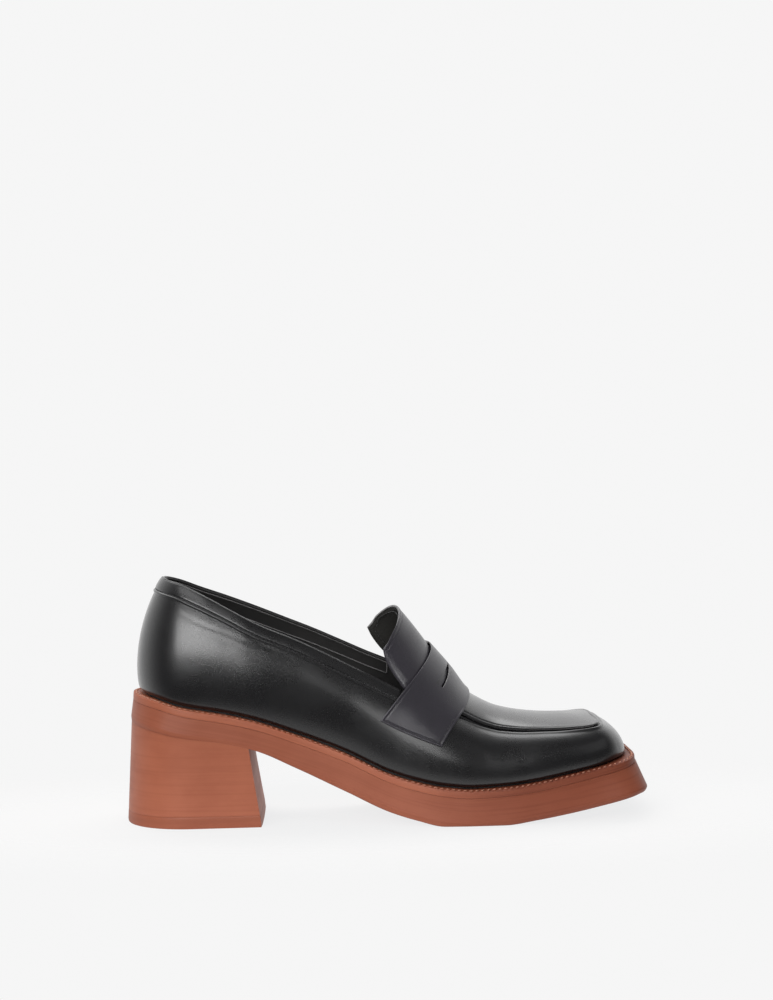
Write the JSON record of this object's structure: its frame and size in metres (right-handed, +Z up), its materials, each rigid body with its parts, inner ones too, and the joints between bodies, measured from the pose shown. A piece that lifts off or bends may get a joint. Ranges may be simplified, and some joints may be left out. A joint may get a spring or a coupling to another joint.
{
  "type": "loafer pump",
  "caption": "Slip-on leather loafer pump with a square toe, saddle strap, welted sole and block heel, for the right foot.",
  "frame": {"origin": "on the floor, under the middle of the shoe's box", "axes": "+X towards the toe, +Y towards the medial side, +Z up"},
  "size_m": [0.2653, 0.0949, 0.1245],
  "materials": {
    "heel_leather": "polished stacked leather, cognac brown",
    "sole_leather": "polished leather edge, cognac brown",
    "welt_leather": "stitched welt, cognac brown",
    "lining_leather": "matt lining leather, black",
    "upper_leather": "smooth box leather, black, soft gloss",
    "strap_leather": "smooth leather, black, soft gloss"
  },
  "bodies": {
    "root": {"top_lift": "heel_leather", "heel_block": "heel_leather", "outsole": "sole_leather", "welt": "welt_leather", "insole": "lining_leather", "upper": "upper_leather", "collar_band": "upper_leather", "apron": "upper_leather", "tongue": "strap_leather", "saddle_strap": "strap_leather"}
  },
  "joints": []
}
